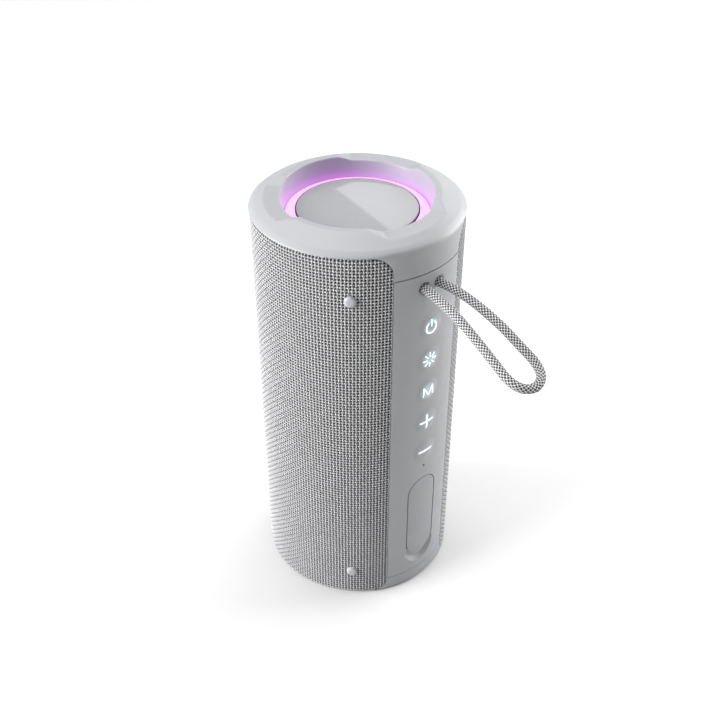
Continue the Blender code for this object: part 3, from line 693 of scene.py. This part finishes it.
def bottom_cap_section(angle):
    s = from_strip_edge(angle)
    lip, under = CLOTH_LOW - 0.05 * MM, 0.25 * MM
    if s < 0:
        lip = PANEL_LOW - GAP
    elif s <= BOTTOM_CORNER_R:
        lip += corner_rise(s, BOTTOM_CORNER_R)
    curved = s <= BOTTOM_CORNER_R
    reach = BODY_R if curved else 40.6 * MM
    heights = [lip] + [under + (lip - under) * share for share in (0.55, 0.28, 0.1)]
    outer = [(reach - (float(tuck(z)) if curved else 0.0), z) for z in heights]
    skirt = 12.6 * MM if s < 0 else 19.6 * MM
    points = outer + [
        (reach - 1.5 * MM, 0.9 * MM),
        (25.8 * MM, 0.9 * MM),
        (24.8 * MM, 1.9 * MM),
        (24.8 * MM, 8.0 * MM),
        (CAP_BORE_R, 8.0 * MM),
        (CAP_BORE_R, skirt),
        (CAP_SKIRT_R, skirt),
        (39.3 * MM, lip),
    ]
    trims = [0.2 * MM if s < 0 else NO_TRIM, 0.0, 0.0, 0.0] + [0.4 * MM] * 3 + [0.2 * MM] * 5
    return fillet(points, trims)


def make_caps():
    top = ring_object("top_shell", top_cap_section, cap_with_painted_ring_light())
    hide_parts("top_cap")
    bottom = ring_object("bottom_shell", bottom_cap_section, MATERIALS["shell_plastic"])
    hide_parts("bottom_cap")
    for piece in (top, bottom):
        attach(piece, "housing")


make_caps()


# ---------------------------------------------------------------- woven grille

WARP_PITCH = 1.366 * MM
WEFT_PITCH = 1.321 * MM
CLOTH_R = BODY_R - 0.35 * MM
RELIEF_MM = {"warp_over": 0.16, "weft_over": 0.36, "warp": 0.06, "weft": 0.16, "opening": -0.40}
YARN_SWAY = 0.16 * MM
EDGE_FADE = 0.5 * MM
EDGE_DROP = 0.10 * MM


def grille_edge(z):
    """Arc length of the cloth's edge beside the strip at height z, with its round corners."""
    start = STRIP_ARC + 0.03 * MM
    rise = np.clip(z - (GRILLE_HIGH - TOP_CORNER_R), 0, TOP_CORNER_R)
    drop = np.clip((CLOTH_LOW + BOTTOM_CORNER_R) - z, 0, BOTTOM_CORNER_R)
    top = TOP_CORNER_R - np.sqrt(TOP_CORNER_R**2 - rise**2)
    low = BOTTOM_CORNER_R - np.sqrt(BOTTOM_CORNER_R**2 - drop**2)
    return start + np.maximum(top, low)


def weave_height(i, j):
    """Relief in metres at half-yarn steps i round the body and j up it."""
    warp_row, weft_row = i % 2 == 0, j % 2 == 0
    crossing = np.where((i // 2 + j // 2) % 2 == 0, RELIEF_MM["warp_over"], RELIEF_MM["weft_over"])
    choices = [crossing, RELIEF_MM["warp"], RELIEF_MM["weft"]]
    return np.select([warp_row & weft_row, warp_row, weft_row], choices, RELIEF_MM["opening"]) * MM


def make_grille():
    half_turn = math.pi * BODY_R
    reach = half_turn - STRIP_ARC
    columns = int(math.ceil(reach / (WARP_PITCH / 2))) + 1
    i = np.arange(-columns, columns + 1)
    rows = int((GRILLE_HIGH - CLOTH_LOW) / (WEFT_PITCH / 2))
    j = np.arange(0, rows + 1)
    z_line = np.linspace(CLOTH_LOW, GRILLE_HIGH, rows + 1)
    s, z = np.meshgrid(half_turn + i * WARP_PITCH / 2, z_line, indexing="ij")
    ii, jj = np.meshgrid(i, j, indexing="ij")
    sway = np.where((ii // 2 + jj // 2) % 2 == 0, 1.0, -1.0) * (ii % 2 == 0) * (jj % 2 == 0)
    s = s + YARN_SWAY * sway
    low_edge = grille_edge(z)
    s = np.clip(s, low_edge, 2 * half_turn - low_edge)
    from_sides = np.minimum(s - low_edge, 2 * half_turn - low_edge - s)
    near = np.minimum(from_sides, np.minimum(z - CLOTH_LOW, GRILLE_HIGH - z))
    fade = np.clip(near / EDGE_FADE, 0, 1)
    height = weave_height(ii, jj) * fade - EDGE_DROP * (1 - fade)
    uv = np.stack([(s - half_turn) / WARP_PITCH, jj / 2.0], -1)
    radius = CLOTH_R + height - tuck(z)
    points = bend(s, radius, z)
    cloth_piece = grid_object("grille_weave", points, MATERIALS["grille_cloth"], uv=uv)
    bm = bmesh.new()
    bm.from_mesh(cloth_piece.data)
    rim = [edge for edge in bm.edges if edge.is_boundary]
    grown = bmesh.ops.extrude_edge_only(bm, edges=rim)
    for v in grown["geom"]:
        if isinstance(v, bmesh.types.BMVert):
            flat = Vector((v.co.x, v.co.y, 0))
            v.co -= flat.normalized() * 0.9 * MM
    bm.to_mesh(cloth_piece.data)
    bm.free()
    cloth_piece.data.shade_smooth()
    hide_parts("grille_fabric")
    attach(cloth_piece, "housing")


make_grille()


# ---------------------------------------------------------------- key strip

CORD_HOLE = (3.8 * MM, 158.0 * MM, 1.93 * MM)


def flared_drill(x, z, radius, flare=1.5 * MM, count=48):
    """A cutter whose mouth opens in a soft curve where it meets the wall."""
    angles = np.linspace(0, math.pi / 2, 9)
    mouth = [(radius + flare * (1 - math.cos(a)), flare * math.sin(a)) for a in angles]
    profile = [(0, 0), *mouth, (radius + flare, 4 * MM), (0, 4 * MM)]
    drill = turned("drill", profile, MATERIALS["shell_plastic"], count)
    lift = Matrix.Translation((x, -(BODY_R - flare + 0.02 * MM), z))
    drill.data.transform(lift @ Matrix.Rotation(math.pi / 2, 4, "X"))
    return drill


def make_panel():
    side = STRIP_ARC - 0.05 * MM
    outline = [(-side, PANEL_LOW), (side, PANEL_LOW), (side, PANEL_HIGH), (-side, PANEL_HIGH)]
    panel = flat_plate("key_strip", outline, STRIP_INNER_R, BODY_R, MATERIALS["shell_plastic"])
    hole = FLAP_HALF + 0.4 * MM
    slot_cutter = flat_plate(
        "slot",
        stadium(hole, FLAP_LOW - 0.4 * MM, FLAP_HIGH + 0.4 * MM),
        38 * MM,
        45 * MM,
        MATERIALS["shell_plastic"],
    )
    scoop = flat_drill(0, 19.3 * MM, 6.4 * MM, count=64, depth=(40.4, 42.6), outer_radius=9.1 * MM)
    cut(panel, scoop, slot_cutter)
    x, z, radius = CORD_HOLE
    for side_x in (-x, x):
        cut(panel, flat_drill(side_x, z, radius), flared_drill(side_x, z, radius))
    cut(panel, *[flat_drill(0, key_z, KEY_R + 0.3 * MM, 64) for key_z in KEY_Z.values()])
    cut(panel, flat_drill(0, MIC_Z, 0.5 * MM, 24))
    bevel(panel, 0.13 * MM)
    wrap(panel)
    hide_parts("control_panel")
    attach(panel, "housing")


SKIN_R = 6.3 * MM
SKIN_PROUD = 0.56 * MM


def skin_rise(r):
    """Height of the soft key skin over the strip at distance r from the key's middle."""
    t = np.clip(r / SKIN_R, 0, 1)
    return 0.03 * MM + SKIN_PROUD * (1 - t**3) ** 2


def make_key_skins():
    """A soft skin over each key that runs out into the strip."""
    for key in KEYS:
        rings = np.linspace(0, SKIN_R, 26)
        angles = np.linspace(0, 2 * math.pi, 72, endpoint=False)
        r, a = np.meshgrid(rings, angles, indexing="ij")
        x, dz = r * np.cos(a), r * np.sin(a)
        points = bend(x, BODY_R + skin_rise(r), KEY_Z[key] + dz)
        skin = grid_object(f"key_skin_{key}", points, halo_material(key), loop_columns=True)
        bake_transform(skin)


def halo_material(key):
    """Key skin: strip plastic, with light leaking through it round the symbol."""
    n = Nodes(f"key_skin_{key}", PLASTIC, 0.42)
    offset = n.add("ShaderNodeVectorMath", **{"0": n.place(), "1": (0, -BODY_R, KEY_Z[key])})
    offset.operation = "SUBTRACT"
    parts = n.add("ShaderNodeSeparateXYZ", Vector=offset.outputs[0])
    x, z = parts.outputs["X"], parts.outputs["Z"]
    distance = n.length(x, z)
    away_x, away_z = n.math("ABSOLUTE", x), n.math("ABSOLUTE", z)
    from_stroke = {
        "power": n.math("ABSOLUTE", n.math("SUBTRACT", distance, 2.5 * MM)),
        "volume_up": n.math("MINIMUM", away_x, away_z),
        "volume_down": away_z,
    }.get(key, n.math("MULTIPLY", distance, 0.25))
    near_stroke = n.ramp(from_stroke, 0.1 * MM, 1.5 * MM, 1.0, 0.0)
    on_key = n.ramp(distance, 3.0 * MM, 4.6 * MM, 1.0, 0.0)
    return plastic_with_painted_glow(n, n.math("MULTIPLY", near_stroke, on_key), (0.62, 0.95, 1.0), 0.28)


def stroke(points, width, relief=0.16 * MM, sides=12):
    """A flattened bar with round ends along (x, z) points, in the key's own plane."""
    line = np.array([(x, 0.0, z) for x, z in points])
    if len(points) > 3:
        path = smooth_path(line, 0.25 * MM)[0]
    else:
        pieces = [np.linspace(a, b, 14, endpoint=False) for a, b in zip(line, line[1:])]
        path = np.vstack([*pieces, line[-1:]])
    tangent = np.gradient(path, axis=0)
    tangent /= np.linalg.norm(tangent, axis=1)[:, None]
    across = np.stack([-tangent[:, 2], 0 * tangent[:, 0], tangent[:, 0]], -1)
    cap = np.linspace(math.pi / 2, 0, 6)[:-1]
    lead = [(path[0] - tangent[0] * math.sin(c) * width / 2, across[0], math.cos(c)) for c in cap]
    body = [(p, q, 1.0) for p, q in zip(path, across)]
    tail = [(path[-1] + tangent[-1] * math.sin(c) * width / 2, across[-1], math.cos(c)) for c in cap[::-1]]
    angles = np.linspace(0, 2 * math.pi, sides, endpoint=False)
    loops = []
    for centre, side, size in lead + body + tail:
        offset = side[None] * np.cos(angles)[:, None] * width / 2 * size
        lift = np.sin(angles) * relief * size
        loops.append(np.stack([centre[0] + offset[:, 0], lift, centre[2] + offset[:, 2]], -1))
    return np.array(loops)


def icon_strokes():
    """Strokes of each key's symbol in millimetres, with their width."""
    ring = [(2.55 * math.sin(a), 2.55 * math.cos(a) - 0.35) for a in np.radians(np.linspace(36, 324, 25))]
    turns = np.radians(np.arange(0, 360, 45))
    rays = [[(r * math.cos(a), r * math.sin(a)) for r in (1.35, 3.4)] for a in turns]
    corners = ((-2.5, -2.1), (-2.3, 2.1), (0.0, -1.7), (2.3, 2.1), (2.5, -2.1))
    letter = list(zip(corners, corners[1:]))
    return {
        "power": ([ring, [(0, 0.2), (0, 3.1)]], 0.42),
        "light": (rays, 0.32),
        "mode": (letter, 0.42),
        "volume_up": ([[(-3.3, 0), (3.3, 0)], [(0, -3.1), (0, 3.1)]], 0.42),
        "volume_down": ([[(-3.3, 0), (3.3, 0)]], 0.42),
    }


def make_icons():
    for key, (strokes, width) in icon_strokes().items():
        for number, line in enumerate(strokes, 1):
            loops = stroke(in_mm(line), width * MM)
            x, lift, dz = loops[..., 0], loops[..., 1], loops[..., 2]
            radius = BODY_R + skin_rise(np.hypot(x, dz)) + lift
            points = bend(x, radius, KEY_Z[key] + dz)
            icon = grid_object(f"icon_{key}_{number}", points, ICON_GLOW, loop_columns=True)
            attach(icon, f"key_{key}")


make_panel()
make_key_skins()
make_icons()


# ---------------------------------------------------------------- port flap


def make_flap():
    flap = flat_plate(
        "flap_cover",
        stadium(FLAP_HALF, FLAP_LOW, FLAP_HIGH),
        STRIP_INNER_R + 0.3 * MM,
        BODY_R,
        MATERIALS["flap_rubber"],
    )
    bevel(flap, 0.35 * MM)
    wrap(flap)
    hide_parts("port_flap")
    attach(flap, "flap")
    low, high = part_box("flap_tether")
    rows = np.linspace(low.y - 0.3 * MM, high.y, 24)
    section = fillet(
        [(low.x, low.z), (high.x, low.z), (high.x, high.z), (low.x, high.z)],
        [0.3 * MM] * 4,
        3,
    )
    points = [[(x, y, z) for x, z in section] for y in rows]
    middle_x, middle_z = (low.x + high.x) / 2, (low.z + high.z) / 2
    first, last = ([(middle_x, y, middle_z)] * len(section) for y in (rows[0], rows[-1]))
    tether = grid_object("flap_strap", [first, *points, last], MATERIALS["flap_rubber"], loop_columns=True)
    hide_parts("flap_tether")
    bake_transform(tether)


make_flap()


# ---------------------------------------------------------------- lit ring, covers and feet


def make_ring_and_covers():
    ring_profile = fillet(
        [(24.2, 173.5), (28.1, 172.2), (28.1, 170.5), (24.2, 170.5)],
        [0.5, 0.3, 0.2, 0.2],
    )
    ring = turned("lit_ring", in_mm(ring_profile), MATERIALS["light_guide"], 180, closed=True)
    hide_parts("light_ring")
    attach(ring, "housing")
    seal_profile = in_mm([(23.86, 171.2), (24.14, 171.2), (24.14, 173.75), (23.86, 173.85)])
    seal = turned("cover_seal", seal_profile, MATERIALS["black_rubber"], 180, closed=True)
    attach(seal, "top_radiator")
    for end, back, front in (("top", 171.0, 174.0), ("bottom", 6.0, 3.2)):
        outline = [(0, front), (22.9, front), (23.8, front), (23.8, back), (0, back)]
        outline = fillet(outline, [0, 0, 0.4, 0.3, 0], 5, closed=False)
        cover = turned(f"{end}_cover_disc", in_mm(outline), MATERIALS["cover_satin"], 180)
        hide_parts(f"{end}_radiator_cover")
        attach(cover, f"{end}_radiator")


STUD_PROFILE_MM = (
    (0.0, 42.85),
    (1.0, 42.84),
    (1.55, 42.78),
    (1.95, 42.6),
    (2.2, 42.35),
    (2.35, 42.0),
    (2.4, 41.4),
    (0.0, 41.4),
)
STUD_DROP = 1.1 * MM


def make_side_studs():
    """Flat-topped rubber studs with round edges, which come through the cloth."""
    for number in range(1, 5):
        low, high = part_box(f"side_foot_{number}")
        middle = (low + high) / 2
        out = Vector((middle.x, middle.y, 0)).normalized()
        stud = turned(f"side_stud_{number}", in_mm(STUD_PROFILE_MM), MATERIALS["foot_rubber"], 40)
        turn = out.to_track_quat("Z", "Y").to_matrix().to_4x4()
        stud.data.transform(Matrix.Translation((0, 0, middle.z - STUD_DROP)) @ turn)
        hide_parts(f"side_foot_{number}")
        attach(stud, "housing")


make_ring_and_covers()
make_side_studs()


# ---------------------------------------------------------------- carried-over nodes


def paint_frame_nodes():
    for part in frame["record"]["subparts"]:
        node = frame["nodes"][part["node"]]
        node.data.materials.clear()
        node.data.materials.append(MATERIALS[part["material_slot"]])
        smooth(node)


paint_frame_nodes()


# ---------------------------------------------------------------- floor and light


def add_floor():
    mesh = bpy.data.meshes.new("floor")
    reach = 4.0
    corners = [(x * reach, y * reach, 0) for x, y in ((-1, -1), (1, -1), (1, 1), (-1, 1))]
    mesh.from_pydata(corners, [], [(0, 1, 2, 3)])
    # Painted light: the floor's colour grows paler away from the body, making up for the lamps' light
    # falling off with distance.
    near, far = (0.625, 0.625, 0.625), (0.80, 0.80, 0.80)
    n = Nodes("floor_paper", near, 0.9)
    parts = n.add("ShaderNodeSeparateXYZ", Vector=n.place())
    r = n.length(parts.outputs["X"], parts.outputs["Y"])
    n.set(Base_Color=n.mix(n.ramp(r, 0.5, 1.1), near, far))
    floor = link_mesh("floor", mesh, n.material)


AIM_Z = 0.09
DISC_Z = 0.174


def from_view(azimuth, elevation, distance):
    """A point round the body; azimuth 0 is the camera's side, and positive turns to its right."""
    a = VIEW_AZIMUTH + math.radians(azimuth)
    e = math.radians(elevation)
    flat = distance * math.cos(e)
    return Vector((flat * math.sin(a), -flat * math.cos(a), AIM_Z + distance * math.sin(e)))


def add_panel(name, location, rotation, size, radiance):
    data = bpy.data.lights.new(name, "AREA")
    data.shape = "RECTANGLE"
    data.size, data.size_y = size
    data.energy = radiance * math.pi * size[0] * size[1]
    light = bpy.data.objects.new(name, data)
    light.matrix_world = Matrix.Translation(location) @ rotation.to_4x4()
    bpy.context.scene.collection.objects.link(light)


def add_softbox(name, azimuth, elevation, distance, size, radiance):
    """A softbox that faces the body."""
    location = from_view(azimuth, elevation, distance)
    aim = location - Vector((0, 0, AIM_Z))
    add_panel(name, location, aim.to_track_quat("Z", "Y").to_matrix(), size, radiance)


def add_back_panel(reach=1.2, size=0.9, edge_angle=math.radians(143), corner=(0.0413, -0.0308)):
    """A square panel behind the body; the disc mirrors its edge across its middle."""
    disc = Vector((0, 0, DISC_Z))
    out = (from_view(180, 28.3, 1.0) - Vector((0, 0, AIM_Z))).normalized()
    side = Vector((0, 0, 1)).cross(out).normalized()
    up = out.cross(side)
    edge = side * math.cos(edge_angle) + up * math.sin(edge_angle)
    other = out.cross(edge)
    location = disc + out * reach + side * corner[0] + up * corner[1] + (edge + other) * size / 2
    rotation = Matrix((edge, other, out)).transposed()
    add_panel("back_panel", location, rotation, (size, size), 1.5)


def add_world():
    world = bpy.data.worlds.new("studio")
    world.use_nodes = True
    background = world.node_tree.nodes["Background"]
    background.inputs["Color"].default_value = (1, 1, 1, 1)
    background.inputs["Strength"].default_value = 0.37
    bpy.context.scene.world = world


def add_lights():
    add_softbox("left_box", azimuth=-74, elevation=12, distance=1.1, size=(0.8, 1.0), radiance=13.4)
    add_softbox("right_box", azimuth=117, elevation=14, distance=1.1, size=(0.8, 1.0), radiance=8.2)
    add_softbox("top_box", azimuth=180, elevation=78, distance=1.2, size=(1.0, 1.0), radiance=3.6)
    add_back_panel()


add_floor()
add_world()
add_lights()
bpy.context.scene.view_settings.view_transform = "Standard"
